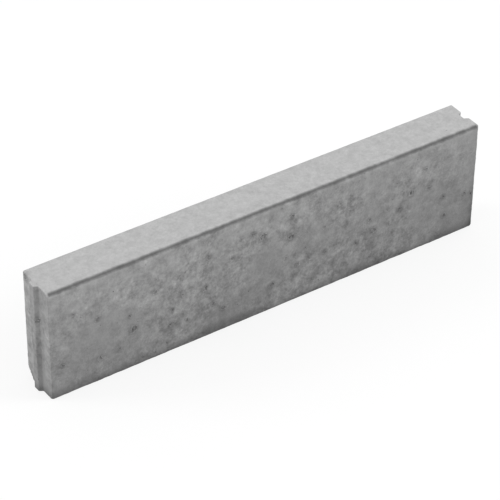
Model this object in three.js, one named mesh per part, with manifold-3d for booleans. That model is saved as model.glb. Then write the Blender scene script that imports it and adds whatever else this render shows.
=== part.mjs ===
// Concrete kerb stone: one cast block that stands on its narrow long edge.
// A full-height tongue on one end enters the groove in the next stone's end.
//
// Millimetres. +X runs along the stone towards the grooved end, the face with
// the chamfered top arris looks along -Y, and +Z is up. The origin is on the
// underside, in the middle of the laid length and of the thickness.

import * as THREE from 'three';
import { mergeVertices } from 'three/addons/utils/BufferGeometryUtils.js';
import Module from 'manifold-3d';

// Block, as it is laid
const LAID_LENGTH = 1000;
const HEIGHT = 250;
const THICKNESS = 90;

// Arrises
const TOP_CHAMFER = 5;
const TOP_BACK_RADIUS = 2;
const BOTTOM_RADIUS = 4;
const END_ARRIS_RADIUS = 3;

// Tongue on the -X end, and the play that the groove in the +X end gives it
const TONGUE_ROOT_WIDTH = 24;
const TONGUE_TIP_WIDTH = 15;
const TONGUE_REACH = 8;
const TONGUE_TIP_RADIUS = 1.5;
const TONGUE_ROOT_RADIUS = 1.5;
const JOINT_PLAY = 1;

// Corner broken off the underside, behind the tongue
const BREAK_HEIGHT = 26;
const BREAK_WIDTH = 20;
const BREAK_LENGTH = 14;

const CONCRETE = { color: 0x9a9a98, roughness: 0.92, metalness: 0 };

// How far the swept cross-section runs past each end of the plan
const OVERRUN = 20;
const ARC_STEPS = 4;
const Z_AXIS = new THREE.Vector3(0, 0, 1);

const wasm = await Module();
wasm.setup();

/** Closed outline through corners of {x, y, radius}, with a curve at each corner that has a radius. */
function roundedOutline(corners) {
  const shape = new THREE.Shape();
  corners.forEach(({ x, y, radius = 0 }, index) => {
    const corner = new THREE.Vector2(x, y);
    const before = corners.at(index - 1);
    const after = corners[(index + 1) % corners.length];
    const arriving = new THREE.Vector2(before.x, before.y).sub(corner).normalize();
    const leaving = new THREE.Vector2(after.x, after.y).sub(corner).normalize();
    const setback = radius / Math.tan(arriving.angleTo(leaving) / 2);
    const start = corner.clone().addScaledVector(arriving, setback);
    const end = corner.clone().addScaledVector(leaving, setback);
    if (index === 0) {
      shape.moveTo(start.x, start.y);
    } else {
      shape.lineTo(start.x, start.y);
    }
    if (radius > 0) {
      shape.quadraticCurveTo(corner.x, corner.y, end.x, end.y);
    }
  });
  shape.closePath();
  return shape;
}

/** Straight extrusion of an outline along +Z, from z = 0. */
function extrude(shape, depth) {
  return new THREE.ExtrudeGeometry(shape, { depth, bevelEnabled: false, curveSegments: ARC_STEPS });
}

/** Solid for joining and cutting, from a closed geometry. */
function toSolid(geometry) {
  const bare = geometry.clone();
  bare.deleteAttribute('normal');
  bare.deleteAttribute('uv');
  const merged = mergeVertices(bare, 1e-4);
  return new wasm.Manifold(new wasm.Mesh({
    numProp: 3,
    vertProperties: new Float32Array(merged.attributes.position.array),
    triVerts: new Uint32Array(merged.index.array),
  }));
}

/** Geometry of a finished solid, with flat faces. */
function toGeometry(solid) {
  const mesh = solid.getMesh();
  const geometry = new THREE.BufferGeometry();
  geometry.setAttribute('position', new THREE.BufferAttribute(mesh.vertProperties, mesh.numProp));
  geometry.setIndex(new THREE.BufferAttribute(mesh.triVerts, 1));
  geometry.computeVertexNormals();
  return geometry;
}

/** Plan of the stone: a long rectangle with the tongue on one end and the groove in the other. */
function planOutline() {
  const end = LAID_LENGTH / 2;
  const face = THICKNESS / 2;
  const root = TONGUE_ROOT_WIDTH / 2;
  const tip = TONGUE_TIP_WIDTH / 2;
  const mouth = root + JOINT_PLAY;
  const floor = tip + JOINT_PLAY;
  const floorX = end - TONGUE_REACH - JOINT_PLAY;
  return roundedOutline([
    { x: -end, y: -face, radius: END_ARRIS_RADIUS },
    { x: end, y: -face, radius: END_ARRIS_RADIUS },
    { x: end, y: -mouth, radius: TONGUE_ROOT_RADIUS },
    { x: floorX, y: -floor, radius: TONGUE_TIP_RADIUS },
    { x: floorX, y: floor, radius: TONGUE_TIP_RADIUS },
    { x: end, y: mouth, radius: TONGUE_ROOT_RADIUS },
    { x: end, y: face, radius: END_ARRIS_RADIUS },
    { x: -end, y: face, radius: END_ARRIS_RADIUS },
    { x: -end, y: root, radius: TONGUE_ROOT_RADIUS },
    { x: -end - TONGUE_REACH, y: tip, radius: TONGUE_TIP_RADIUS },
    { x: -end - TONGUE_REACH, y: -tip, radius: TONGUE_TIP_RADIUS },
    { x: -end, y: -root, radius: TONGUE_ROOT_RADIUS },
  ]);
}

/** Cross-section, seen along the stone: outline x is the thickness and outline y is the height. */
function crossSection() {
  const face = THICKNESS / 2;
  return roundedOutline([
    { x: -face, y: 0, radius: BOTTOM_RADIUS },
    { x: face, y: 0, radius: BOTTOM_RADIUS },
    { x: face, y: HEIGHT, radius: TOP_BACK_RADIUS },
    { x: -face + TOP_CHAMFER, y: HEIGHT },
    { x: -face, y: HEIGHT - TOP_CHAMFER },
  ]);
}

/** Block with one face in the plane of the break, lying outside that plane and over the corner. */
function breakCutter() {
  const corner = new THREE.Vector3(-LAID_LENGTH / 2, THICKNESS / 2, 0);
  const along = corner.clone().add(new THREE.Vector3(BREAK_LENGTH, 0, 0));
  const across = corner.clone().add(new THREE.Vector3(0, -BREAK_WIDTH, 0));
  const above = corner.clone().add(new THREE.Vector3(0, 0, BREAK_HEIGHT));
  const outwards = new THREE.Plane().setFromCoplanarPoints(across, above, along).normal;

  const size = 2 * BREAK_HEIGHT;
  const middle = along.clone().add(across).add(above).divideScalar(3);
  const cutter = new THREE.BoxGeometry(size, size, size);
  cutter.applyQuaternion(new THREE.Quaternion().setFromUnitVectors(Z_AXIS, outwards));
  const centre = middle.addScaledVector(outwards, size / 2);
  cutter.translate(centre.x, centre.y, centre.z);
  return cutter;
}

function kerbStone() {
  const plan = toSolid(extrude(planOutline(), HEIGHT));

  const sweepLength = LAID_LENGTH + 2 * (TONGUE_REACH + OVERRUN);
  const sweep = extrude(crossSection(), sweepLength);
  sweep.rotateX(Math.PI / 2);
  sweep.rotateZ(Math.PI / 2);
  sweep.translate(-sweepLength / 2, 0, 0);

  const block = plan.intersect(toSolid(sweep)).subtract(toSolid(breakCutter()));
  const mesh = new THREE.Mesh(toGeometry(block), new THREE.MeshStandardMaterial(CONCRETE));
  mesh.name = 'kerb_stone';
  return mesh;
}

const kerb = new THREE.Group();
kerb.add(kerbStone());

export default kerb;
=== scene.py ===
"""Precast concrete kerb stone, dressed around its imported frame.

Lengths are metres in the frame's own axes: +X runs along the stone to its grooved end, the
face under the chamfered arris looks along -Y, +Z is up and the underside lies on z = 0.
"""

import logging
import math
from dataclasses import dataclass
from enum import Enum

import bpy
import numpy as np
from mathutils import Matrix, Vector, noise
from mathutils.bvhtree import BVHTree


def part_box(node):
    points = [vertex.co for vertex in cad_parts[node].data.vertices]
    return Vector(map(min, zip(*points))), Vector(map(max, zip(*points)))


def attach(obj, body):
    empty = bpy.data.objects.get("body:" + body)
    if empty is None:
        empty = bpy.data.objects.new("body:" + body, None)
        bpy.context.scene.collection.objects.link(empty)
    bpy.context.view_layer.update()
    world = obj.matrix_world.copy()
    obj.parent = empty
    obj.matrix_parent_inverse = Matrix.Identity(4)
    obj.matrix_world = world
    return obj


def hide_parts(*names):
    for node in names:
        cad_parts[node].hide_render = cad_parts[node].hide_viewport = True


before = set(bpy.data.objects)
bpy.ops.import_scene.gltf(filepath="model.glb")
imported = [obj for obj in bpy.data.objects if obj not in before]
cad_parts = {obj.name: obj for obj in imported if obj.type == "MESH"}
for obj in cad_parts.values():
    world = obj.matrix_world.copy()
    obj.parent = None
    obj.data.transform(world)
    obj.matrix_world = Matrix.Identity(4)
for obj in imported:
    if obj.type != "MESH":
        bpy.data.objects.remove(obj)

MM = 0.001
NODE = "kerb_stone"
BODY = "root"

# Numbers that the mesh carries for its finish, and that points carry for the hollows set on them
HOLLOW = "hollow"
STAIN = "stain"
BROKEN = "broken"
HOLE_RADIUS = "hole_radius"

X_AXIS, Y_AXIS, Z_AXIS = 0, 1, 2
ALMOST_ZERO = 1e-12

# The share, the first number and the second, among the inputs of a Mix node
MIX_INPUTS = (0, 2, 3)

Socket = bpy.types.NodeSocket
Number = float | int

log = logging.getLogger("kerb")


class Ease(Enum):
    """Shape that a square arris is eased to, as the power of the norm that draws it in."""

    CHAMFER = 1.0
    ROUND = 2.0


class Graph:
    """Adds nodes to one node tree and joins them, so that a finish reads as a formula."""

    def __init__(self, tree: bpy.types.NodeTree) -> None:
        """Take over a tree and empty it.

        Args:
            tree: The shader, world or geometry tree to fill.
        """
        self.tree = tree
        self.tree.nodes.clear()

    def node(self, kind: str, settings: dict | None = None, inputs: dict | None = None) -> bpy.types.Node:
        """Add one node.

        Args:
            kind: The node's type name.
            settings: Properties to set on the node.
            inputs: Socket names or numbers, each with a value or with a socket to join.

        Returns:
            The new node.
        """
        made = self.tree.nodes.new(kind)
        for name, value in (settings or {}).items():
            setattr(made, name, value)
        for key, value in (inputs or {}).items():
            self.feed(made.inputs[key], value)
        return made

    def feed(self, target: Socket, value: object) -> None:
        """Join a socket to an input, or set the input's own value.

        Args:
            target: The input.
            value: A socket to join, or a value.
        """
        if isinstance(value, Socket):
            self.tree.links.new(value, target)
        else:
            target.default_value = value

    def math(self, operation: str, *values: Socket | Number, clamp: bool = False) -> Socket:
        """Add one arithmetic step.

        Args:
            operation: The step's name in a Math node.
            values: What it works on.
            clamp: Whether the result is held between 0 and 1.

        Returns:
            The result.
        """
        made = self.node("ShaderNodeMath", {"operation": operation, "use_clamp": clamp})
        for target, value in zip(made.inputs, values):
            self.feed(target, value)
        return made.outputs[0]

    def product(self, first: Socket | Number, *others: Socket | Number) -> Socket:
        """Multiply numbers.

        Args:
            first: The first factor.
            others: The other factors, at least one.

        Returns:
            The product.
        """
        for other in others:
            first = self.math("MULTIPLY", first, other)
        return first

    def weighted(self, base: Socket | Number, *terms: tuple[Socket, Socket | Number]) -> Socket:
        """Add to a base some values, each times its weight.

        Args:
            base: What the sum starts from.
            terms: Each value with its weight.

        Returns:
            The sum.
        """
        for value, weight in terms:
            base = self.math("MULTIPLY_ADD", value, weight, base)
        return base

    def less(self, first: Socket | Number, second: Socket | Number) -> Socket:
        """Take the second number from the first."""
        return self.math("SUBTRACT", first, second)

    def scaled(self, vector: Socket, factor: Socket | Number) -> Socket:
        """Multiply a vector by a number."""
        made = self.node("ShaderNodeVectorMath", {"operation": "SCALE"},
                         {"Vector": vector, "Scale": factor})
        return made.outputs[0]

    def parts(self, vector: Socket) -> tuple[Socket, Socket, Socket]:
        """Split a vector into x, y and z."""
        return tuple(self.node("ShaderNodeSeparateXYZ", None, {0: vector}).outputs)

    def ramp(self, value: Socket, low: Socket | Number, high: Socket | Number,
             start: Socket | Number = 0.0, end: Socket | Number = 1.0, curve: str = "SMOOTHSTEP") -> Socket:
        """Carry a value from start to end as it goes from low to high, and hold it outside.

        Args:
            value: The value that is followed.
            low: Where the result is start.
            high: Where the result is end.
            start: The result at low.
            end: The result at high.
            curve: How it changes in between, as a Map Range node names it.

        Returns:
            The result.
        """
        inputs = {"Value": value, "From Min": low, "From Max": high, "To Min": start, "To Max": end}
        return self.node("ShaderNodeMapRange", {"interpolation_type": curve}, inputs).outputs["Result"]

    def mix(self, share: Socket | Number, first: Socket | Number, second: Socket | Number) -> Socket:
        """Blend two numbers.

        Args:
            share: How much of the second there is, from 0 to 1.
            first: The result at a share of 0.
            second: The result at a share of 1.

        Returns:
            The blend.
        """
        made = self.node("ShaderNodeMix", {"data_type": "FLOAT", "clamp_factor": True})
        for index, value in zip(MIX_INPUTS, (share, first, second)):
            self.feed(made.inputs[index], value)
        return made.outputs[0]

    def factor(self, share: Socket, full: Socket | Number) -> Socket:
        """Factor that is 1 where the share is 0, and the given one where the share is 1."""
        return self.mix(share, 1.0, full)

    def cloud(self, where: Socket, size: float, detail: float = 2.0, roughness: float = 0.5) -> Socket:
        """Smooth noise with features of about the given size.

        Args:
            where: Position on the stone.
            size: Distance over which it changes.
            detail: How many finer octaves it has.
            roughness: How strong each finer octave is beside the last.

        Returns:
            The noise, roughly from -1 to 1.
        """
        inputs = {"Vector": where, "Scale": 1 / size, "Detail": detail, "Roughness": roughness}
        raw = self.node("ShaderNodeTexNoise", {"noise_dimensions": "3D"}, inputs).outputs[0]
        return self.math("MULTIPLY_ADD", raw, 4.0, -2.0)

    def cells(self, where: Socket, pitch: float) -> tuple[Socket, Socket]:
        """Cells around points scattered at about the given pitch.

        Args:
            where: Position on the stone.
            pitch: Distance between the points.

        Returns:
            The distance to the nearest point, in pitches, and a number of its own for each cell, 0 to 1.
        """
        made = self.node("ShaderNodeTexVoronoi", {"feature": "F1"}, {"Vector": where, "Scale": 1 / pitch})
        own = self.node("ShaderNodeSeparateColor", None, {0: made.outputs["Color"]}).outputs[0]
        return made.outputs["Distance"], own

    def carried(self, name: str) -> Socket:
        """Number that the mesh carries under a name, as a shader reads it."""
        return self.node("ShaderNodeAttribute", {"attribute_name": name}).outputs["Fac"]

    def grey(self, tone: Socket | Number) -> Socket:
        """Grey colour of the given tone."""
        return self.node("ShaderNodeCombineColor", None, {0: tone, 1: tone, 2: tone}).outputs[0]


@dataclass(frozen=True)
class OpenTexture:
    """Where the skin of the casting is open: patches that are darker and hold most of the pores."""

    patch_size: float = 21 * MM
    patch_start: float = 0.25
    patch_full: float = 1.0
    closed_end: float = -420 * MM
    lively_from: float = -150 * MM
    closed_share: float = 0.75
    lively_to: float = 340 * MM
    groove_side: float = 440 * MM
    groove_side_share: float = 0.72
    lively_below: float = 190 * MM
    upper_edge: float = 225 * MM
    upper_edge_share: float = 0.72
    calm_size: float = 95 * MM
    calm_below: float = -0.7
    calm_share: float = 0.5
    lively_above: float = 0.5
    lively_share: float = 1.15

    def share(self, graph: Graph, where: Socket) -> Socket:
        """How open the skin is at a place.

        Args:
            graph: The shader or geometry tree that asks.
            where: Position on the stone.

        Returns:
            0 where the skin is closed, up to about 1 in the middle of an open patch.
        """
        patches = graph.ramp(graph.cloud(where, self.patch_size), self.patch_start, self.patch_full)
        return graph.product(patches, self.liveliness(graph, where))

    def liveliness(self, graph: Graph, where: Socket) -> Socket:
        """How lively the texture is at a place: calmer in wide patches, towards both ends and near the top.

        Args:
            graph: The shader or geometry tree that asks.
            where: Position on the stone.

        Returns:
            The strength of the texture, about 1 on average.
        """
        x, _, z = graph.parts(where)
        left = graph.ramp(x, self.closed_end, self.lively_from, self.closed_share, 1.0)
        right = graph.ramp(x, self.lively_to, self.groove_side, 1.0, self.groove_side_share)
        upwards = graph.ramp(z, self.lively_below, self.upper_edge, 1.0, self.upper_edge_share)
        wide = graph.cloud(where, self.calm_size)
        wide = graph.ramp(wide, self.calm_below, self.lively_above, self.calm_share, self.lively_share)
        return graph.product(left, right, upwards, wide)


@dataclass(frozen=True)
class Unevenness:
    """One scale of noise in the concrete, with its weight in the tones and in the fine relief."""

    size: float
    detail: float
    roughness: float
    side: float = 0.0
    top: float = 0.0
    relief: float = 0.0

    def cloud(self, graph: Graph, where: Socket) -> Socket:
        """The noise itself, roughly from -1 to 1."""
        return graph.cloud(where, self.size, self.detail, self.roughness)


@dataclass(frozen=True)
class Place:
    """What the parts of the concrete's finish read at each place, as sockets of its shader."""

    where: Socket
    x: Socket
    y: Socket
    z: Socket
    top: Socket
    patches: Socket
    blotches: Socket
    mottle: Socket
    sand: Socket
    grain: Socket
    opened: Socket
    liveliness: Socket


@dataclass(frozen=True)
class PaintedLightAndWear:
    """Changes of tone with place: a darker foot that is partly painted shade and partly damp, a darker
    margin beside the grooved end, painted light that falls off from the tongued end to the grooved end,
    painted light on the rear shoulder of the tongued end, a paler rim below the chamfer and a paler rubbed
    arris.
    """

    low: Vector
    high: Vector
    chamfer: float
    # Darker foot and bottom strip: partly painted shade towards the ground, partly damp
    foot_shade_and_damp_tone: float = 0.71
    foot_shade_and_damp_height: float = 225 * MM
    foot_on_end: float = 0.2
    bottom_shade_and_damp_tone: float = 0.60
    bottom_shade_and_damp_height: float = 30 * MM
    level_wander: float = 10 * MM
    margin_width: float = 16 * MM
    margin_foot: float = 20 * MM
    margin_head: float = 130 * MM
    margin_foot_tone: float = 0.58
    margin_head_tone: float = 0.92
    # Painted light at the tongued end, painted shade at the grooved end
    tongue_end_painted_light: float = 1.02
    groove_end_painted_shade: float = 0.92
    rim_tone: float = 1.09
    rim_start: float = 4 * MM
    rim_end: float = 10 * MM
    face_depth: float = 1 * MM
    end_depth: float = 3 * MM
    rubbed_tone: float = 1.12
    rubbed_core: float = 1.5 * MM
    rubbed_reach: float = 5 * MM
    rubbed_foot: float = 5 * MM
    rubbed_head: float = 45 * MM
    # Painted light on the rear shoulder of the tongued end
    rear_shoulder_painted_light: float = 1.2
    behind_start: float = 9 * MM
    behind_full: float = 15 * MM

    def tone(self, graph: Graph, place: Place) -> Socket:
        """Factor on the tone of the sides.

        Args:
            graph: The concrete's shader.
            place: What it reads.

        Returns:
            The factor.
        """
        on_end = graph.ramp(place.x, self.low.x + self.end_depth, self.low.x)
        # Painted light: the tone falls from the tongued end to the grooved end, as the light does along the
        # stone
        painted_falloff_tones = (self.tongue_end_painted_light, self.groove_end_painted_shade)
        along = graph.ramp(place.x, self.low.x, self.high.x, *painted_falloff_tones, "LINEAR")
        lasting = graph.product(self._foot(graph, place, on_end), self._margin(graph, place), along)
        # Painted light: the end's rear shoulder, behind the tongue, is paler
        behind = graph.ramp(place.y, self.behind_start, self.behind_full)
        for share, full in (
            (self._rim(graph, place), self.rim_tone),
            (self._rubbed(graph, place), self.rubbed_tone),
            (graph.product(on_end, behind), self.rear_shoulder_painted_light),
        ):
            lasting = graph.product(lasting, graph.factor(share, full))
        return lasting

    def _foot(self, graph: Graph, place: Place, on_end: Socket) -> Socket:
        """Darkening towards the ground, partly painted shade and partly damp, weaker on the tongued end,
        with a darker strip at the bottom that is partly painted shade and partly damp.

        Args:
            graph: The concrete's shader.
            place: What it reads.
            on_end: 1 on the tongued end and 0 elsewhere.

        Returns:
            The factor on the tone.
        """
        level = graph.weighted(place.z, (place.patches, self.level_wander))
        # Painted shade towards the ground, partly also damp
        foot = graph.ramp(level, 0.0, self.foot_shade_and_damp_height, self.foot_shade_and_damp_tone, 1.0, "LINEAR")
        foot = graph.mix(graph.product(on_end, 1 - self.foot_on_end), foot, 1.0)
        # Darker strip at the bottom: painted shade at the ground, partly also damp
        return graph.product(foot, graph.ramp(level, 0.0, self.bottom_shade_and_damp_height, self.bottom_shade_and_damp_tone, 1.0))

    def _margin(self, graph: Graph, place: Place) -> Socket:
        """Darker margin beside the grooved end, strongest near the ground.

        Args:
            graph: The concrete's shader.
            place: What it reads.

        Returns:
            The factor on the tone.
        """
        share = graph.ramp(graph.less(self.high.x, place.x), self.margin_width, 0.0)
        tones = (self.margin_foot_tone, self.margin_head_tone)
        return graph.factor(share, graph.ramp(place.z, self.margin_foot, self.margin_head, *tones))

    def _rim(self, graph: Graph, place: Place) -> Socket:
        """1 on the pale rim of the front face, just below its chamfer."""
        below = graph.less(self.high.z - self.chamfer, place.z)
        on_face = graph.ramp(graph.less(place.y, self.low.y), self.face_depth, 0.0)
        return graph.product(graph.ramp(below, self.rim_end, self.rim_start), on_face)

    def _rubbed(self, graph: Graph, place: Place) -> Socket:
        """1 on the rubbed upright arris between the front face and the tongued end, off the ground.

        Args:
            graph: The concrete's shader.
            place: What it reads.

        Returns:
            The share of rubbed skin.
        """
        reach = graph.math("MAXIMUM", graph.less(place.y, self.low.y), graph.less(place.x, self.low.x))
        arris = graph.ramp(reach, self.rubbed_reach, self.rubbed_core)
        return graph.product(arris, graph.ramp(place.z, self.rubbed_foot, self.rubbed_head))


@dataclass(frozen=True)
class DarkChamferBand:
    """Dark band along the chamfer at the top of the front face."""

    low: Vector
    high: Vector
    # Tone of the dark band on the chamfer
    dark_tone: float = 0.12
    unevenness: float = 0.15
    core: float = 1.8 * MM
    reach: float = 9.1 * MM
    wander: float = 0.9 * MM
    end_gap: float = 6 * MM

    def tone(self, graph: Graph, place: Place) -> Socket:
        """Tone of the dark band."""
        return graph.product(graph.weighted(1.0, (place.mottle, self.unevenness)), self.dark_tone)

    def share(self, graph: Graph, place: Place) -> Socket:
        """Where the dark band lies.

        Args:
            graph: The concrete's shader.
            place: What it reads.

        Returns:
            1 along the middle of the chamfer, fading out past its two edges and before its ends.
        """
        from_face, from_top = graph.less(place.y, self.low.y), graph.less(self.high.z, place.z)
        off = graph.weighted(graph.math("MAXIMUM", from_face, from_top), (place.mottle, self.wander))
        band = graph.ramp(off, self.reach, self.core)
        middle, half = (self.low.x + self.high.x) / 2, (self.high.x - self.low.x) / 2
        from_middle = graph.math("ABSOLUTE", graph.less(place.x, middle))
        return graph.product(band, graph.ramp(from_middle, half, half - self.end_gap))


@dataclass(frozen=True)
class BrokenStone:
    """Rough inside of the concrete where a corner is off: stones of many tones in their mortar."""

    stone_pitch: float = 7 * MM
    stone_edge: float = 0.5
    stone_core: float = 0.3
    darkest: float = 0.8
    palest: float = 1.3
    mortar: float = 1.05
    stone_relief: float = 0.6
    roughness: float = 2.0

    def stones(self, graph: Graph, place: Place) -> tuple[Socket, Socket]:
        """The broken stones.

        Args:
            graph: The concrete's shader.
            place: What it reads.

        Returns:
            The share of stone, 0 in the mortar, and the factor on the tone.
        """
        distance, own = graph.cells(place.where, self.stone_pitch)
        share = graph.ramp(distance, self.stone_edge, self.stone_core)
        stone = graph.ramp(own, 0.0, 1.0, self.darkest, self.palest, "LINEAR")
        return share, graph.mix(share, self.mortar, stone)


@dataclass(frozen=True)
class ConcreteFinish:
    """Grey cast concrete: paler even top, mottled sides, a dark band on the chamfer and a darker foot that
    is partly painted shade and partly damp.
    """

    low: Vector
    high: Vector
    texture: OpenTexture
    light_and_wear: PaintedLightAndWear
    chamfer: DarkChamferBand
    break_face: BrokenStone = BrokenStone()
    name: str = "cast_concrete"
    patches: Unevenness = Unevenness(110 * MM, 3.0, 0.5, side=0.05)
    blotches: Unevenness = Unevenness(42 * MM, 2.0, 0.5, side=0.14)
    mottle: Unevenness = Unevenness(17 * MM, 3.0, 0.55, side=0.33, top=0.10, relief=0.25)
    sand: Unevenness = Unevenness(5.5 * MM, 2.0, 0.6, side=0.17, top=0.09, relief=0.20)
    grain: Unevenness = Unevenness(1.5 * MM, 2.0, 0.6, side=0.07, top=0.07, relief=0.16)
    side_tone: float = 0.342
    top_tone: float = 0.41
    top_start: float = 2.0 * MM
    top_full: float = 0.8 * MM
    open_tone: float = 0.80
    open_depth: float = 0.5
    speck_tone: float = 1.22
    speck_pitch: float = 16 * MM
    speck_share: float = 0.5
    speck_radii: tuple[float, float] = (0.02, 0.42)
    speck_core: float = 0.3
    # Painted shade inside the hollows
    hollow_painted_shade: float = 0.70
    dark_tone: float = 0.67
    side_roughness: float = 0.93
    top_roughness: float = 0.82
    top_relief: float = 0.4
    specular: float = 0.3
    relief_height: float = 1 * MM
    relief_strength: float = 0.7

    def build(self) -> bpy.types.Material:
        """Make the material.

        Returns:
            The concrete, as a procedural material on object coordinates.
        """
        material = bpy.data.materials.new(self.name)
        material.use_nodes = True
        graph = Graph(material.node_tree)
        place = self._place(graph)
        stones, stone_factor = self.break_face.stones(graph, place)
        broken = graph.carried(BROKEN)

        tone = graph.mix(place.top, self._side(graph, place), self._cap(graph, place))
        tone = graph.product(tone, graph.weighted(1.0, (place.grain, self.grain.side)))
        tone = graph.mix(self.chamfer.share(graph, place), tone, self.chamfer.tone(graph, place))
        tone = graph.product(tone, graph.factor(broken, stone_factor))
        # Darker skin in a ring around each scab is a stain; darker faces inside the hollows are painted
        # shade
        for name, full in ((STAIN, self.dark_tone), (HOLLOW, self.hollow_painted_shade)):
            tone = graph.product(tone, graph.factor(graph.carried(name), full))

        shader = graph.node("ShaderNodeBsdfPrincipled", None, {
            "Base Color": graph.grey(tone),
            "Roughness": graph.mix(place.top, self.side_roughness, self.top_roughness),
            "Specular IOR Level": self.specular,
            "Normal": self._relief(graph, place, graph.product(broken, stones), broken),
        })
        graph.node("ShaderNodeOutputMaterial", None, {"Surface": shader.outputs[0]})
        return material

    def _place(self, graph: Graph) -> Place:
        """Gather what the parts of the finish read.

        Args:
            graph: The concrete's shader.

        Returns:
            The sockets.
        """
        where = graph.node("ShaderNodeTexCoord").outputs["Object"]
        x, y, z = graph.parts(where)
        return Place(
            where, x, y, z,
            top=graph.ramp(z, self.high.z - self.top_start, self.high.z - self.top_full),
            patches=self.patches.cloud(graph, where),
            blotches=self.blotches.cloud(graph, where),
            mottle=self.mottle.cloud(graph, where),
            sand=self.sand.cloud(graph, where),
            grain=self.grain.cloud(graph, where),
            opened=self.texture.share(graph, where),
            liveliness=self.texture.liveliness(graph, where),
        )

    def _side(self, graph: Graph, place: Place) -> Socket:
        """Tone of the formed faces: mottled, with darker open skin, pale specks, and changes with place
        that are partly painted shade and light and partly damp and wear.

        Args:
            graph: The concrete's shader.
            place: What it reads.

        Returns:
            The tone.
        """
        lively = graph.weighted(0.0, (place.sand, self.sand.side), (place.mottle, self.mottle.side),
                                (place.blotches, self.blotches.side))
        mottled = graph.weighted(1.0, (lively, place.liveliness), (place.patches, self.patches.side))
        distance, own = graph.cells(place.where, self.speck_pitch)
        radius = graph.ramp(own, 1 - self.speck_share, 1.0, *self.speck_radii, "LINEAR")
        specks = graph.ramp(distance, radius, graph.product(radius, self.speck_core))
        return graph.product(
            mottled,
            graph.factor(place.opened, self.open_tone),
            graph.factor(graph.product(specks, place.liveliness), self.speck_tone),
            self.light_and_wear.tone(graph, place),
            self.side_tone,
        )

    def _cap(self, graph: Graph, place: Place) -> Socket:
        """Tone of the top: even, with a little mottle and sand."""
        even = graph.weighted(1.0, (place.mottle, self.mottle.top), (place.sand, self.sand.top))
        return graph.product(even, self.top_tone)

    def _relief(self, graph: Graph, place: Place, stones: Socket, broken: Socket) -> Socket:
        """Fine relief: sand everywhere, rougher where the skin is open, and stones in a break.

        Args:
            graph: The concrete's shader.
            place: What it reads.
            stones: Share of stone in the breaks, and 0 elsewhere.
            broken: 1 in the breaks and 0 elsewhere.

        Returns:
            The surface's normal.
        """
        fine = graph.weighted(0.0, (place.sand, self.sand.relief), (place.grain, self.grain.relief))
        rough = graph.weighted(fine, (place.mottle, self.mottle.relief), (place.opened, -self.open_depth))
        height = graph.mix(place.top, rough, graph.product(fine, self.top_relief))
        height = graph.product(height, graph.factor(broken, self.break_face.roughness))
        height = graph.weighted(height, (stones, self.break_face.stone_relief))
        inputs = {"Height": height, "Distance": self.relief_height, "Strength": self.relief_strength}
        return graph.node("ShaderNodeBump", None, inputs).outputs[0]


@dataclass(frozen=True)
class EndJoint:
    """Tongue or groove on one end, a trapezium in plan that runs the full height."""

    root_width: float
    tip_width: float
    reach: float
    rounding: float = 1.0 * MM
    rounding_steps: int = 9

    def stand_out(self, y: np.ndarray) -> np.ndarray:
        """How far the end stands out of its shoulders at each place across the thickness.

        Args:
            y: The places.

        Returns:
            The distances, below zero in a groove.
        """
        run = (self.root_width - self.tip_width) / 2
        steps = np.linspace(-self.rounding, self.rounding, self.rounding_steps)
        slopes = [np.clip((self.root_width / 2 - np.abs(y + step)) / run, 0.0, 1.0) for step in steps]
        return self.reach * np.mean(slopes, axis=0)

    def bends(self) -> list[float]:
        """Places across the thickness at, and on both sides of, each bend in the plan."""
        halves = (self.root_width / 2, self.tip_width / 2)
        steps = (-self.rounding, -self.rounding / 3, self.rounding / 3, self.rounding)
        return [side * (half + step) for side in (-1, 1) for half in halves for step in steps]


@dataclass(frozen=True)
class Knock:
    """Corner broken off: its place, as the sign of x, y and z, and its run along each arris."""

    side: tuple[int, int, int]
    run: tuple[float, float, float]
    roughness: float = 1.2 * MM
    lump_size: float = 5 * MM

    def cut(self, points: np.ndarray, low: Vector, high: Vector) -> np.ndarray:
        """Draw the points outside the break's plane in to it, with a rough surface, in place.

        Args:
            points: The mesh's points, one to a row.
            low: The laid block's lowest corner.
            high: The laid block's highest corner.

        Returns:
            Which of the points moved.
        """
        side = np.array(self.side)
        corner = np.where(side > 0, np.array(high), np.array(low))
        depth = ((corner - points) * side / np.array(self.run)).sum(axis=1)
        inwards = -side / np.array(self.run)
        scale = np.linalg.norm(inwards)
        outside = depth < 1.0
        shift = (1.0 - depth[outside]) / scale
        wander = np.array([noise.noise(Vector(p) / self.lump_size) for p in points[outside]])
        shift += self.roughness * np.abs(wander)
        points[outside] += shift[:, None] * inwards / scale
        return outside


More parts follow.
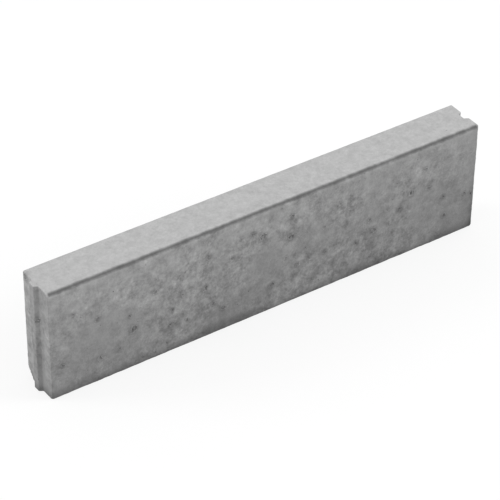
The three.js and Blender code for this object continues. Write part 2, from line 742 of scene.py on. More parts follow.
@dataclass(frozen=True)
class StudioCamera:
    """Long lens that looks down on the tongued end and the long face."""

    azimuth: float = math.radians(-34.64)
    elevation: float = math.radians(36.96)
    roll: float = math.radians(0.66)
    offset: tuple[float, float, float] = (-0.0174, 0.0939, 4.827)
    lens: float = 175.4
    sensor: float = 36.0
    picture: int = 500
    pixel_middle: float = 0.5

    def turn(self) -> Matrix:
        """Its own axes, right, up and back, as the columns of a turn.

        Returns:
            The turn.
        """
        back = Vector((
            math.sin(self.azimuth) * math.cos(self.elevation),
            -math.cos(self.azimuth) * math.cos(self.elevation),
            math.sin(self.elevation),
        ))
        right = Vector((math.cos(self.azimuth), math.sin(self.azimuth), 0))
        up = back.cross(right)
        turned_right = right * math.cos(self.roll) + up * math.sin(self.roll)
        turned_up = up * math.cos(self.roll) - right * math.sin(self.roll)
        return Matrix((turned_right, turned_up, back)).transposed()

    def place(self) -> Vector:
        """Where it stands, by its offset right, up and back from the origin."""
        return self.turn() @ Vector(self.offset)

    def sight(self, across: int, down: int) -> Vector:
        """Direction in which it sees a pixel of its square picture.

        Args:
            across: Pixels from the picture's left edge.
            down: Pixels from the picture's upper edge.

        Returns:
            The direction, of length 1.
        """
        right = across + self.pixel_middle - self.picture / 2
        up = self.picture / 2 - down - self.pixel_middle
        back = -self.picture * self.lens / self.sensor
        return self.turn() @ Vector((right, up, back)).normalized()

    def build(self) -> None:
        """Place the camera and make it the scene's own."""
        data = bpy.data.cameras.new("camera")
        data.lens = self.lens
        data.sensor_width = self.sensor
        data.sensor_fit = "HORIZONTAL"
        camera = bpy.data.objects.new("camera", data)
        camera.matrix_world = Matrix.Translation(self.place()) @ self.turn().to_4x4()
        bpy.context.scene.collection.objects.link(camera)
        bpy.context.scene.camera = camera


@dataclass(frozen=True)
class Spot:
    """Hollow on a side that the camera sees: its radius, and its pixel in the camera's picture.

    Pixels count across and down from the picture's upper left corner.
    """

    across: int
    down: int
    radius: float


@dataclass(frozen=True)
class Scab:
    """Shallow hollow in a known place, where a patch of the skin stayed in the mould."""

    place: tuple[float, float, float]
    radius: float


@dataclass(frozen=True)
class HollowKind:
    """One kind of hollow: how it is scattered, how large it is and how flat."""

    name: str
    spacing: float
    density: float
    smallest: float
    largest: float
    flatness: float
    ball_detail: int

    def sizes(self) -> dict[str, float]:
        """Named inputs of the tree for this kind, with their values."""
        return {
            f"{self.name} Spacing": self.spacing,
            f"{self.name} Density": self.density,
            f"{self.name} Smallest": self.smallest,
            f"{self.name} Largest": self.largest,
        }


@dataclass(frozen=True)
class CastSurface:
    """Surface left by the mould: gentle unevenness, shallow scabs and small pores."""

    finish: bpy.types.Material
    texture: OpenTexture
    scabs: tuple[Scab, ...]
    relief: float = 0.5 * MM
    waves: Unevenness = Unevenness(110 * MM, 2.0, 0.5, relief=0.3)
    lumps: Unevenness = Unevenness(11 * MM, 3.0, 0.6, relief=0.45)
    level_from: float = 0.5
    level_full: float = 0.9
    relief_on_level: float = 0.25
    hollows_on_level: float = 0.08
    hollows_if_open: float = 0.9
    hollows_if_closed: float = 0.06
    size_power: float = 2.5
    loose: HollowKind = HollowKind("Scab", spacing=15 * MM, density=900.0, smallest=1.8 * MM,
                                   largest=5.0 * MM, flatness=0.4, ball_detail=3)
    pores: HollowKind = HollowKind("Pore", spacing=4.5 * MM, density=5000.0, smallest=0.7 * MM,
                                   largest=1.7 * MM, flatness=0.9, ball_detail=2)
    pore_gap: float = 8 * MM
    ball_lift: float = 0.35
    ball_width: float = 0.75
    ball_lump_size: float = 5 * MM
    ball_lumpiness: float = 1.1
    stain_core: float = 0.8
    stain_reach: float = 1.5
    stain_margin: float = 2.5 * MM
    stain_radii: tuple[float, float] = (1.5 * MM, 4.5 * MM)
    least_stain: float = 0.2
    weld: float = 0.001 * MM
    crumb_points: int = 100
    seed: int = 11

    def sizes(self) -> dict[str, float]:
        """Named number inputs of the tree, with their values."""
        return {"Relief": self.relief, "Pore Gap": self.pore_gap, "Weld Distance": self.weld,
                **self.loose.sizes(), **self.pores.sizes()}

    def tree(self) -> bpy.types.GeometryNodeTree:
        """Build the Geometry Nodes tree that roughens the stone and cuts the hollows.

        Returns:
            The tree, with named inputs for its sizes.
        """
        tree = bpy.data.node_groups.new("cast_surface", "GeometryNodeTree")
        sockets = tree.interface
        sockets.new_socket("Stone", in_out="INPUT", socket_type="NodeSocketGeometry")
        for name in self.sizes():
            sockets.new_socket(name, in_out="INPUT", socket_type="NodeSocketFloat")
        sockets.new_socket("Seed", in_out="INPUT", socket_type="NodeSocketInt")
        sockets.new_socket("Marked Scabs", in_out="INPUT", socket_type="NodeSocketObject")
        sockets.new_socket("Finish", in_out="INPUT", socket_type="NodeSocketMaterial")
        sockets.new_socket("Stone", in_out="OUTPUT", socket_type="NodeSocketGeometry")

        graph = Graph(tree)
        given = graph.node("NodeGroupInput").outputs
        rough = self._roughened(graph, given["Stone"], given["Relief"])
        scabs = self._scab_points(graph, rough, given)
        pores = self._scatter(graph, rough, given, self.pores)
        pores = self._clear_of(graph, pores, scabs, given["Pore Gap"])
        cut = self._in_triangles(graph, self._stained(graph, rough, scabs))
        for points, kind in ((scabs, self.loose), (pores, self.pores)):
            cut = self._cut(graph, cut, self._hollows(graph, points, rough, given, kind))
        whole = graph.node("GeometryNodeMergeByDistance", None, {
            "Geometry": self._in_triangles(graph, cut), "Distance": given["Weld Distance"],
        }).outputs[0]
        whole = self._without_crumbs(graph, whole)
        plain = graph.node("GeometryNodeRealizeInstances", None, {"Geometry": whole}).outputs[0]
        dressed = graph.node("GeometryNodeSetMaterial", None,
                             {"Geometry": plain, "Material": given["Finish"]}).outputs[0]
        graph.node("NodeGroupOutput", None, {0: dressed})
        return tree

    def _without_crumbs(self, graph: Graph, stone: Socket) -> Socket:
        """Leave out loose crumbs of a few points, which hollows cut free where they meet.

        Args:
            graph: The tree.
            stone: The stone, with its corners joined.

        Returns:
            The stone alone.
        """
        part = graph.node("GeometryNodeInputMeshIsland").outputs["Island Index"]
        points = graph.node("GeometryNodeAccumulateField", None, {0: 1.0, 1: part}).outputs["Total"]
        crumb = graph.math("LESS_THAN", points, self.crumb_points)
        return graph.node("GeometryNodeDeleteGeometry", None,
                          {"Geometry": stone, "Selection": crumb}).outputs[0]

    def _in_triangles(self, graph: Graph, stone: Socket) -> Socket:
        """Part each face into flat triangles, so that cutting and welding leave no folded face."""
        return graph.node("GeometryNodeTriangulate", None, {0: stone}).outputs[0]

    def _cut(self, graph: Graph, stone: Socket, cutters: Socket) -> Socket:
        """Take the cutters out of the stone."""
        settings = {"operation": "DIFFERENCE", "solver": "MANIFOLD"}
        return graph.node("GeometryNodeMeshBoolean", settings, {0: stone, 1: cutters}).outputs["Mesh"]

    def _upright(self, graph: Graph, on_level: float) -> Socket:
        """1 where the surface stands upright, and the given share where it lies level."""
        _, _, up = graph.parts(graph.node("GeometryNodeInputNormal").outputs[0])
        return graph.ramp(graph.math("ABSOLUTE", up), self.level_from, self.level_full, 1.0, on_level)

    def _roughened(self, graph: Graph, stone: Socket, relief: Socket) -> Socket:
        """Sink the surface by gentle noise, less on the top than on the formed faces.

        Args:
            graph: The tree.
            stone: The smooth stone.
            relief: The deepest that the surface sinks.

        Returns:
            The uneven stone.
        """
        where = graph.node("GeometryNodeInputPosition").outputs[0]
        normal = graph.node("GeometryNodeInputNormal").outputs[0]
        uneven = graph.weighted(0.0, *((kind.cloud(graph, where), kind.relief)
                                       for kind in (self.waves, self.lumps)))
        depth = graph.math("MULTIPLY_ADD", uneven, 0.5, 0.5, clamp=True)
        sink = graph.product(depth, self._upright(graph, self.relief_on_level), relief, -1.0)
        inputs = {"Geometry": stone, "Offset": graph.scaled(normal, sink)}
        return graph.node("GeometryNodeSetPosition", None, inputs).outputs[0]

    def _scatter(self, graph: Graph, stone: Socket, given: bpy.types.NodeOutputs,
                 kind: HollowKind) -> Socket:
        """Scatter points for one kind of hollow, thickest where the skin is open.

        Args:
            graph: The tree.
            stone: The stone that they are scattered on.
            given: The tree's inputs.
            kind: The kind of hollow.

        Returns:
            The points, each with its hollow's radius.
        """
        where = graph.node("GeometryNodeInputPosition").outputs[0]
        opened = self.texture.share(graph, where)
        factor = graph.math("MULTIPLY_ADD", opened, self.hollows_if_open, self.hollows_if_closed)
        factor = graph.product(factor, self._upright(graph, self.hollows_on_level))
        points = graph.node("GeometryNodeDistributePointsOnFaces", {"distribute_method": "POISSON"}, {
            "Mesh": stone,
            "Distance Min": given[f"{kind.name} Spacing"],
            "Density Max": given[f"{kind.name} Density"],
            "Density Factor": factor,
            "Seed": given["Seed"],
        }).outputs["Points"]
        draw = graph.node("FunctionNodeRandomValue", {"data_type": "FLOAT"}, {"Seed": given["Seed"]})
        size = graph.math("POWER", draw.outputs["Value"], self.size_power)
        radius = graph.mix(size, given[f"{kind.name} Smallest"], given[f"{kind.name} Largest"])
        return self._store(graph, points, HOLE_RADIUS, radius, "POINT")

    def _store(self, graph: Graph, shape: Socket, name: str, value: Socket | Number, domain: str) -> Socket:
        """Keep a number on a shape under a name.

        Args:
            graph: The tree.
            shape: The mesh or the points.
            name: The number's name.
            value: The number.
            domain: What it is kept on, such as points or faces.

        Returns:
            The shape with the number.
        """
        settings = {"data_type": "FLOAT", "domain": domain}
        inputs = {"Geometry": shape, "Name": name, "Value": value}
        return graph.node("GeometryNodeStoreNamedAttribute", settings, inputs).outputs[0]

    def _kept(self, graph: Graph, name: str) -> Socket:
        """Read back a number that was kept under a name."""
        settings = {"data_type": "FLOAT"}
        return graph.node("GeometryNodeInputNamedAttribute", settings, {"Name": name}).outputs[0]

    def _distance(self, graph: Graph, points: Socket) -> Socket:
        """Distance to the nearest of some points."""
        nearest = graph.node("GeometryNodeProximity", {"target_element": "POINTS"}, {0: points})
        return nearest.outputs["Distance"]

    def _clear_of(self, graph: Graph, points: Socket, others: Socket, gap: Socket) -> Socket:
        """Take away the points that lie too near to some others.

        Args:
            graph: The tree.
            points: The points to thin out.
            others: The points to stay clear of.
            gap: The least distance between them.

        Returns:
            The points that are left.
        """
        close = graph.node("FunctionNodeCompare", {"data_type": "FLOAT", "operation": "LESS_THAN"},
                           {"A": self._distance(graph, others), "B": gap}).outputs[0]
        inputs = {"Geometry": points, "Selection": close}
        return graph.node("GeometryNodeDeleteGeometry", {"domain": "POINT"}, inputs).outputs[0]

    def _scab_points(self, graph: Graph, stone: Socket, given: bpy.types.NodeOutputs) -> Socket:
        """Places of all scabs: those in known places, and those scattered clear of them.

        Args:
            graph: The tree.
            stone: The stone that they lie on.
            given: The tree's inputs.

        Returns:
            The points, each with its scab's radius.
        """
        marks = graph.node("GeometryNodeObjectInfo", None, {"Object": given["Marked Scabs"]}).outputs
        marked = graph.node("GeometryNodeMeshToPoints", None, {"Mesh": marks["Geometry"]}).outputs[0]
        loose = self._scatter(graph, stone, given, self.loose)
        loose = self._clear_of(graph, loose, marked, given[f"{self.loose.name} Spacing"])
        both = graph.node("GeometryNodeJoinGeometry")
        for part in (loose, marked):
            graph.feed(both.inputs[0], part)
        return both.outputs[0]

    def _stained(self, graph: Graph, stone: Socket, scabs: Socket) -> Socket:
        """Mark the stained skin, in a soft ring around each scab that is stronger around a large one.

        Args:
            graph: The tree.
            stone: The stone.
            scabs: The scabs' points.

        Returns:
            The stone, which carries the share of stain.
        """
        where = graph.node("GeometryNodeInputPosition").outputs[0]
        nearest = graph.node("GeometryNodeSampleNearest", {"domain": "POINT"},
                             {"Geometry": scabs, "Sample Position": where}).outputs[0]
        radius = graph.node("GeometryNodeSampleIndex", {"data_type": "FLOAT", "domain": "POINT"}, {
            "Geometry": scabs, "Value": self._kept(graph, HOLE_RADIUS), "Index": nearest,
        }).outputs[0]
        outer = graph.math("MULTIPLY_ADD", radius, self.stain_reach, self.stain_margin)
        ring = graph.ramp(self._distance(graph, scabs), outer, graph.product(radius, self.stain_core))
        share = graph.product(ring, graph.ramp(radius, *self.stain_radii, self.least_stain, 1.0))
        return self._store(graph, stone, STAIN, share, "POINT")

    def _ball(self, graph: Graph, kind: HollowKind) -> Socket:
        """Unit ball that cuts a hollow, lifted so that it bites less than half, with its faces marked."""
        ball = graph.node("GeometryNodeMeshIcoSphere", None,
                          {"Radius": 1.0, "Subdivisions": kind.ball_detail}).outputs[0]
        lifted = graph.node("GeometryNodeTransform", None,
                            {"Geometry": ball, "Translation": (0, 0, self.ball_lift)}).outputs[0]
        # The hollow's faces are marked, so that the finish paints shade inside them
        return self._store(graph, lifted, HOLLOW, 1.0, "FACE")

    def _turn(self, graph: Graph, stone: Socket, given: bpy.types.NodeOutputs) -> Socket:
        """Rotation that sets a ball square to the surface, with a random spin.

        Args:
            graph: The tree.
            stone: The stone, for the way that its surface faces.
            given: The tree's inputs.

        Returns:
            The rotation.
        """
        normal = graph.node("GeometryNodeInputNormal").outputs[0]
        outwards = graph.node("GeometryNodeSampleNearestSurface", {"data_type": "FLOAT_VECTOR"},
                              {"Mesh": stone, "Value": normal}).outputs[0]
        upright = graph.node("FunctionNodeAlignRotationToVector", {"axis": "Z"},
                             {"Vector": outwards}).outputs[0]
        draw = graph.node("FunctionNodeRandomValue", {"data_type": "FLOAT"},
                          {"Min": 0.0, "Max": math.tau, "Seed": given["Seed"]})
        spin = graph.node("FunctionNodeAxisAngleToRotation", None,
                          {"Axis": (0, 0, 1), "Angle": draw.outputs["Value"]}).outputs[0]
        return graph.node("FunctionNodeRotateRotation", {"rotation_space": "LOCAL"},
                          {"Rotation": upright, "Rotate By": spin}).outputs[0]

    def _hollows(self, graph: Graph, points: Socket, stone: Socket, given: bpy.types.NodeOutputs,
                 kind: HollowKind) -> Socket:
        """Set a flattened, lumpy ball into the surface at each point.

        Args:
            graph: The tree.
            points: The hollows' points, each with its radius.
            stone: The stone that they lie on.
            given: The tree's inputs.
            kind: The kind of hollow.

        Returns:
            The balls, as one mesh of closed shells.
        """
        radius = self._kept(graph, HOLE_RADIUS)
        scale = graph.node("ShaderNodeCombineXYZ", None, {
            0: radius,
            1: graph.product(radius, self.ball_width),
            2: graph.product(radius, kind.flatness),
        }).outputs[0]
        placed = graph.node("GeometryNodeInstanceOnPoints", None, {
            "Points": points,
            "Instance": self._ball(graph, kind),
            "Rotation": self._turn(graph, stone, given),
            "Scale": scale,
        }).outputs[0]
        real = graph.node("GeometryNodeRealizeInstances", None, {"Geometry": placed}).outputs[0]
        where = graph.node("GeometryNodeInputPosition").outputs[0]
        lumps = graph.node("ShaderNodeTexNoise", {"noise_dimensions": "3D"},
                           {"Vector": where, "Scale": 1 / self.ball_lump_size, "Detail": 1.0})
        centred = graph.node("ShaderNodeVectorMath", {"operation": "SUBTRACT"},
                             {0: lumps.outputs["Color"], 1: (0.5, 0.5, 0.5)})
        offset = graph.scaled(centred.outputs[0], graph.product(radius, self.ball_lumpiness))
        return graph.node("GeometryNodeSetPosition", None, {"Geometry": real, "Offset": offset}).outputs[0]

    def _marks(self) -> bpy.types.Object:
        """Points at the scabs in known places, each with its radius.

        Returns:
            An object that holds only the points.
        """
        mesh = bpy.data.meshes.new("marked_scabs")
        mesh.from_pydata([scab.place for scab in self.scabs], [], [])
        radii = mesh.attributes.new(HOLE_RADIUS, "FLOAT", "POINT")
        radii.data.foreach_set("value", [scab.radius for scab in self.scabs])
        marks = bpy.data.objects.new("marked_scabs", mesh)
        bpy.context.scene.collection.objects.link(marks)
        return marks

    def apply(self, piece: bpy.types.Object) -> None:
        """Run the tree on a piece and keep the result as a plain mesh.

        Args:
            piece: The stone, before its surface is roughened.
        """
        marks = self._marks()
        values = {**self.sizes(), "Seed": self.seed, "Marked Scabs": marks, "Finish": self.finish}
        modifier = piece.modifiers.new("cast_surface", "NODES")
        modifier.node_group = self.tree()
        for item in modifier.node_group.interface.items_tree:
            if item.in_out == "INPUT" and item.name in values:
                modifier[item.identifier] = values[item.name]
        evaluated = piece.evaluated_get(bpy.context.evaluated_depsgraph_get())
        finished = bpy.data.meshes.new_from_object(evaluated)
        piece.modifiers.clear()
        plain, piece.data = piece.data, finished
        finished.name = piece.name
        bpy.data.meshes.remove(plain)
        bpy.data.objects.remove(marks)


@dataclass(frozen=True)
class KerbStone:
    """The stone: a long block with eased arrises, a tongue, a groove and a broken lower corner."""

    low: Vector
    high: Vector
    texture: OpenTexture
    camera: StudioCamera
    tongue: EndJoint = EndJoint(24 * MM, 15 * MM, 8 * MM)
    groove: EndJoint = EndJoint(26 * MM, 17 * MM, -9 * MM)
    chamfer: float = 5 * MM
    top_back_radius: float = 2 * MM
    bottom_radius: float = 4 * MM
    upright_radius: float = 3 * MM
    end_radius: float = 1.5 * MM
    wear: float = 1.2 * MM
    light_wear: float = 0.6 * MM
    wear_run: float = 18 * MM
    blend_run: float = 60 * MM
    cells: tuple[float, float, float] = (4.5 * MM, 4.2 * MM, 4.2 * MM)
    near: tuple[float, ...] = (0.0, 0.7 * MM, 1.5 * MM, 2.5 * MM, 3.8 * MM, 5.5 * MM)
    bend_gap: float = 1.05 * MM
    line_step: float = 0.5 * MM
    crease: float = math.radians(32)
    # Fall-off, spread and number of the octaves in the wander of an arris
    wander_octaves: tuple[float, float, int] = (0.6, 2.0, 3)
    # Weights of an arris's axes and sides that give it a row of that noise to itself
    arris_rows: tuple[float, float, float, float] = (7.0, 3.0, 1.0, 0.5)
    knocks: tuple[Knock, ...] = (
        Knock((-1, 1, -1), (14 * MM, 20 * MM, 26 * MM)),
        Knock((-1, -1, -1), (7 * MM, 6 * MM, 7 * MM)),
        Knock((1, -1, -1), (7 * MM, 5 * MM, 6 * MM)),
        Knock((-1, 1, 1), (4 * MM, 4 * MM, 4 * MM)),
    )
    front_spots: tuple[Spot, ...] = (
        Spot(across=72, down=315, radius=4 * MM),
        Spot(across=97, down=319, radius=5 * MM),
        Spot(across=100, down=358, radius=7 * MM),
        Spot(across=133, down=329, radius=9 * MM),
        Spot(across=155, down=292, radius=5 * MM),
        Spot(across=169, down=325, radius=5 * MM),
        Spot(across=171, down=310, radius=4 * MM),
        Spot(across=182, down=295, radius=4 * MM),
        Spot(across=205, down=288, radius=7 * MM),
        Spot(across=208, down=257, radius=6 * MM),
        Spot(across=213, down=303, radius=5 * MM),
        Spot(across=223, down=308, radius=5 * MM),
        Spot(across=232, down=258, radius=5 * MM),
        Spot(across=253, down=234, radius=5 * MM),
        Spot(across=263, down=236, radius=8 * MM),
        Spot(across=271, down=285, radius=7 * MM),
        Spot(across=286, down=257, radius=4 * MM),
        Spot(across=291, down=236, radius=8 * MM),
        Spot(across=292, down=216, radius=6 * MM),
        Spot(across=297, down=264, radius=5 * MM),
        Spot(across=324, down=227, radius=4 * MM),
        Spot(across=324, down=252, radius=5 * MM),
        Spot(across=355, down=243, radius=5 * MM),
        Spot(across=369, down=220, radius=5 * MM),
        Spot(across=373, down=230, radius=7 * MM),
        Spot(across=388, down=224, radius=4 * MM),
        Spot(across=399, down=209, radius=6 * MM),
        Spot(across=411, down=193, radius=8 * MM),
        Spot(across=425, down=169, radius=5 * MM),
        Spot(across=429, down=187, radius=4 * MM),
        Spot(across=443, down=215, radius=5 * MM),
    )
    end_spots: tuple[Spot, ...] = (
        Spot(across=37, down=320, radius=6.5 * MM),
        Spot(across=31, down=328, radius=3.5 * MM),
        Spot(across=25, down=277, radius=8 * MM),
    )

    @property
    def laid_low(self) -> Vector:
        """Lowest corner of the block without its tongue."""
        return Vector((self.low.x + self.tongue.reach, self.low.y, self.low.z))

    def _scabs(self, block: bpy.types.Mesh) -> tuple[Scab, ...]:
        """Hollows that have a known place, on the front face and on the tongued end.

        Args:
            block: The mesh that they lie on.

        Returns:
            The hollows, each where the camera's line of sight meets the block.
        """
        corners = [corner.co for corner in block.vertices]
        surface = BVHTree.FromPolygons(corners, [face.vertices[:] for face in block.polygons])
        eye = self.camera.place()
        scabs = []
        for spot in self.front_spots + self.end_spots:
            place = surface.ray_cast(eye, self.camera.sight(spot.across, spot.down))[0]
            scabs.append(Scab(tuple(place), spot.radius))
        return tuple(scabs)

    def _lines(self, low: float, high: float, cell: float) -> np.ndarray:
        """Grid lines from one face to the other, close together beside both.

        Args:
            low: The one face.
            high: The other face.
            cell: Distance between the lines in the middle.

        Returns:
            The lines' places.
        """
        inset = self.near[-1]
        count = round((high - low - 2 * inset) / cell)
        middle = np.linspace(low + inset, high - inset, count + 1)
        first = [low + step for step in self.near[:-1]]
        last = [high - step for step in reversed(self.near[:-1])]
        return np.concatenate([first, middle, last])

    def _lines_across(self) -> np.ndarray:
        """Grid lines across the thickness, with some on both sides of every bend in the ends.

        Returns:
            The lines' places, each on a whole step.
        """
        bends = np.array(self.tongue.bends() + self.groove.bends())
        lines = self._lines(self.low.y, self.high.y, self.cells[Y_AXIS])
        clear = [line for line in lines if np.abs(bends - line).min() > self.bend_gap]
        merged = np.unique(np.round(np.concatenate([clear, bends]) / self.line_step)) * self.line_step
        merged[0], merged[-1] = self.low.y, self.high.y
        return merged

    def _ease(self, points: np.ndarray, axes: tuple[int, int], sides: tuple[int, int],
              size: float, shape: Ease, wear: float) -> None:
        """Draw the points beside one square arris in to a round or a chamfer, in place.

        Args:
            points: The mesh's points, one to a row.
            axes: The two axes across the arris.
            sides: The sign of the arris's side on each of those axes.
            size: Radius of the round, or leg of the chamfer.
            shape: Round or chamfer.
            wear: How much the size wanders along the arris.
        """
        low, high = np.array(self.laid_low), np.array(self.high)
        gaps = []
        for axis, side in zip(axes, sides):
            face = high[axis] if side > 0 else low[axis]
            gaps.append(side * (face - points[:, axis]))
        near = (gaps[0] < size + wear) & (gaps[1] < size + wear)
        along = X_AXIS + Y_AXIS + Z_AXIS - sum(axes)
        row = float(np.dot(self.arris_rows, (*axes, *sides)))
        places = points[near, along] / self.wear_run
        runs = [noise.fractal(Vector((place, row, 0.5)), *self.wander_octaves) for place in places]
        local = size + wear * np.clip(np.array(runs), -1.0, 1.0)
        first, second = local - gaps[0][near], local - gaps[1][near]
        inside = (first > 0) & (second > 0)
        first, second = np.maximum(first, 0), np.maximum(second, 0)
        square = np.maximum(first, second)
        length = (first ** shape.value + second ** shape.value) ** (1 / shape.value)
        keep = np.where(inside, square / np.maximum(length, ALMOST_ZERO), 1.0)
        rows = np.flatnonzero(near)[inside]
        for axis, side, part in zip(axes, sides, (first, second)):
            points[rows, axis] += side * (part * keep - part)[inside]

    def _ease_all(self, points: np.ndarray) -> None:
        """Ease every arris of the square block, in place.

        Args:
            points: The mesh's points, one to a row.
        """
        section, plan, length = (Y_AXIS, Z_AXIS), (X_AXIS, Y_AXIS), (X_AXIS, Z_AXIS)
        self._ease(points, section, (-1, 1), self.chamfer, Ease.CHAMFER, self.light_wear)
        self._ease(points, section, (1, 1), self.top_back_radius, Ease.ROUND, self.light_wear)
        for side in (-1, 1):
            self._ease(points, section, (side, -1), self.bottom_radius, Ease.ROUND, self.wear)
        for end in (-1, 1):
            for side in (-1, 1):
                self._ease(points, plan, (end, side), self.upright_radius, Ease.ROUND, self.wear)
                self._ease(points, length, (end, side), self.end_radius, Ease.ROUND, self.light_wear)

    def _push_ends(self, points: np.ndarray) -> None:
        """Draw the tongue out of one square end and the groove into the other, in place.

        Args:
            points: The mesh's points, one to a row.
        """
        x, y = points[:, X_AXIS].copy(), points[:, Y_AXIS]
        for joint, end, side in ((self.tongue, self.laid_low.x, -1), (self.groove, self.high.x, 1)):
            share = np.clip(1 - np.abs(x - end) / self.blend_run, 0, 1)
            points[:, X_AXIS] += side * joint.stand_out(y) * share

    def mesh(self) -> bpy.types.Mesh:
        """Build the stone as one closed quad mesh.

        Returns:
            The mesh, before its surface is roughened and pitted.
        """
        laid = self.laid_low
        lines = (
            self._lines(laid.x, self.high.x, self.cells[X_AXIS]),
            self._lines_across(),
            self._lines(self.low.z, self.high.z, self.cells[Z_AXIS]),
        )
        points, quads = box_shell(lines)
        self._ease_all(points)
        self._push_ends(points)
        broken = np.zeros(len(points))
        for knock in self.knocks:
            broken[knock.cut(points, laid, self.high)] = 1.0
        made = bpy.data.meshes.new("kerb_block")
        made.from_pydata(points.tolist(), [], quads.tolist())
        made.attributes.new(BROKEN, "FLOAT", "POINT").data.foreach_set("value", broken)
        made.update()
        return made

    def build(self, finish: bpy.types.Material) -> bpy.types.Object:
        """Make the finished stone and set it on its body.

        Args:
            finish: The concrete.

        Returns:
            The stone's object.
        """
        stone = bpy.data.objects.new("kerb_stone_cast", self.mesh())
        bpy.context.scene.collection.objects.link(stone)
        CastSurface(finish, self.texture, self._scabs(stone.data)).apply(stone)
        stone.data.shade_smooth()
        stone.data.set_sharp_from_angle(angle=self.crease)
        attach(stone, BODY)
        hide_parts(NODE)
        return stone


def box_shell(lines: tuple[np.ndarray, np.ndarray, np.ndarray]) -> tuple[np.ndarray, np.ndarray]:
    """Closed mesh of four-sided faces on the surface of a box, with the faces outwards.

    Args:
        lines: The grid lines along x, y and z, each from one face to the other.

    Returns:
        The points, one to a row, and the faces, as four point numbers to a row.
    """
    counts = [len(line) for line in lines]
    sheets = []
    for axis in (X_AXIS, Y_AXIS, Z_AXIS):
        across, up = (axis + 1) % 3, (axis + 2) % 3
        first, second = np.meshgrid(np.arange(counts[across] - 1), np.arange(counts[up] - 1), indexing="ij")
        for place, outwards in ((0, False), (counts[axis] - 1, True)):
            sheet = np.full((first.size, 4, 3), place)
            for corner, (step, rise) in enumerate(((0, 0), (1, 0), (1, 1), (0, 1))):
                sheet[:, corner, across] = first.ravel() + step
                sheet[:, corner, up] = second.ravel() + rise
            sheets.append(sheet if outwards else sheet[:, ::-1])
    cells = np.concatenate(sheets).reshape(-1, 3)
    keys = (cells[:, 0] * counts[1] + cells[:, 1]) * counts[2] + cells[:, 2]
    _, rows, quads = np.unique(keys, return_index=True, return_inverse=True)
    points = np.stack([line[cells[rows, axis]] for axis, line in enumerate(lines)], axis=1)
    return points, quads.reshape(-1, 4)


@dataclass(frozen=True)
class SoftLamp:
    """Large square lamp that looks at the stone."""

    name: str
    place: tuple[float, float, float]
    width: float
    watts: float

    def build(self) -> None:
        """Hang the lamp and turn it to the stone."""
        data = bpy.data.lights.new(self.name, "AREA")
        data.shape = "SQUARE"
        data.size = self.width
        data.energy = self.watts
        lamp = bpy.data.objects.new(self.name, data)
        lamp.location = self.place
        lamp.rotation_euler = (-Vector(self.place)).to_track_quat("-Z", "Y").to_euler()
        bpy.context.scene.collection.objects.link(lamp)


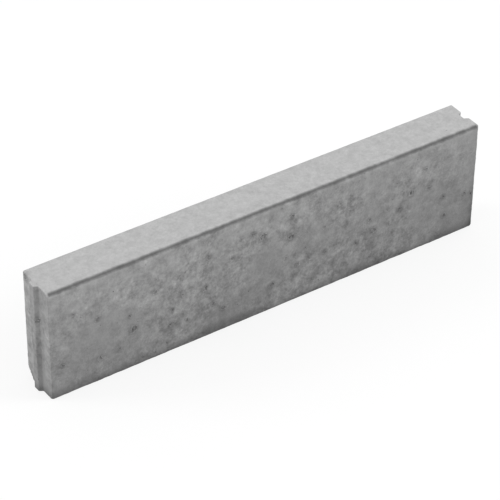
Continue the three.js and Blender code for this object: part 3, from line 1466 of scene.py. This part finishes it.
@dataclass(frozen=True)
class Studio:
    """Glowing white floor under an even white sky, with soft lamps right in front and left behind."""

    sky: float = 0.85
    floor_tone: float = 0.40
    floor_seen_tone: float = 0.90
    floor_glow: float = 0.80
    floor_width: float = 16.0
    lamps: tuple[SoftLamp, ...] = (
        SoftLamp("lamp_right_front", (10.08, -6.72, 7.0), 4.8, 790.0),
        SoftLamp("lamp_left_back", (-10.08, 6.72, 7.0), 4.8, 544.0),
    )

    def build(self) -> None:
        """Make the sky, the floor and the lamps, and set plain colour."""
        scene = bpy.context.scene
        scene.view_settings.view_transform = "Standard"
        self._sky(scene)
        self._floor(scene)
        for lamp in self.lamps:
            lamp.build()

    def _seen(self, graph: Graph) -> Socket:
        """1 for rays that show the set itself, and 0 for the light that it sheds."""
        path = graph.node("ShaderNodeLightPath").outputs
        shown = graph.math("MAXIMUM", path["Is Camera Ray"], path["Is Glossy Ray"])
        return graph.math("MAXIMUM", shown, path["Is Transmission Ray"])

    def _sky(self, scene: bpy.types.Scene) -> None:
        """Fill the world with even light, and show it white.

        Args:
            scene: The scene.
        """
        scene.world = bpy.data.worlds.new("studio_sky")
        scene.world.use_nodes = True
        graph = Graph(scene.world.node_tree)
        strength = graph.mix(self._seen(graph), self.sky, 1.0)
        shader = graph.node("ShaderNodeBackground", None, {"Color": (1, 1, 1, 1), "Strength": strength})
        graph.node("ShaderNodeOutputWorld", None, {"Surface": shader.outputs[0]})

    def _floor_finish(self) -> bpy.types.Material:
        """Floor that shows almost white with a faint shadow, and lights the stone as grey.

        Returns:
            The material.
        """
        material = bpy.data.materials.new("studio_floor")
        material.use_nodes = True
        graph = Graph(material.node_tree)
        seen = self._seen(graph)
        colour = graph.grey(graph.mix(seen, self.floor_tone, self.floor_seen_tone))
        matte = graph.node("ShaderNodeBsdfDiffuse", None, {"Color": colour}).outputs[0]
        white = graph.node("ShaderNodeEmission", None, {"Color": (1, 1, 1, 1), "Strength": 1.0}).outputs[0]
        glow = graph.product(seen, self.floor_glow)
        shader = graph.node("ShaderNodeMixShader", None, {0: glow, 1: matte, 2: white})
        graph.node("ShaderNodeOutputMaterial", None, {"Surface": shader.outputs[0]})
        return material

    def _floor(self, scene: bpy.types.Scene) -> None:
        """Lay the floor.

        Args:
            scene: The scene.
        """
        half = self.floor_width / 2
        mesh = bpy.data.meshes.new("studio_floor")
        corners = [(-half, -half, 0), (half, -half, 0), (half, half, 0), (-half, half, 0)]
        mesh.from_pydata(corners, [], [(0, 1, 2, 3)])
        mesh.materials.append(self._floor_finish())
        floor = bpy.data.objects.new("studio_floor", mesh)
        scene.collection.objects.link(floor)


def main() -> None:
    """Build the studio and the stone, and leave the imported part hidden beside it."""
    logging.basicConfig(level=logging.INFO, format="%(name)s: %(message)s")
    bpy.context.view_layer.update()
    low, high = (Vector(corner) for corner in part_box(NODE))
    camera = StudioCamera()
    camera.build()
    Studio().build()
    texture = OpenTexture()
    kerb = KerbStone(low, high, texture, camera)
    laid = kerb.laid_low
    light_and_wear = PaintedLightAndWear(laid, high, kerb.chamfer)
    finish = ConcreteFinish(laid, high, texture, light_and_wear, DarkChamferBand(laid, high)).build()
    stone = kerb.build(finish)
    stone.data.calc_loop_triangles()
    log.info("%s: %d triangles", stone.name, len(stone.data.loop_triangles))


if __name__ == "__main__":
    main()
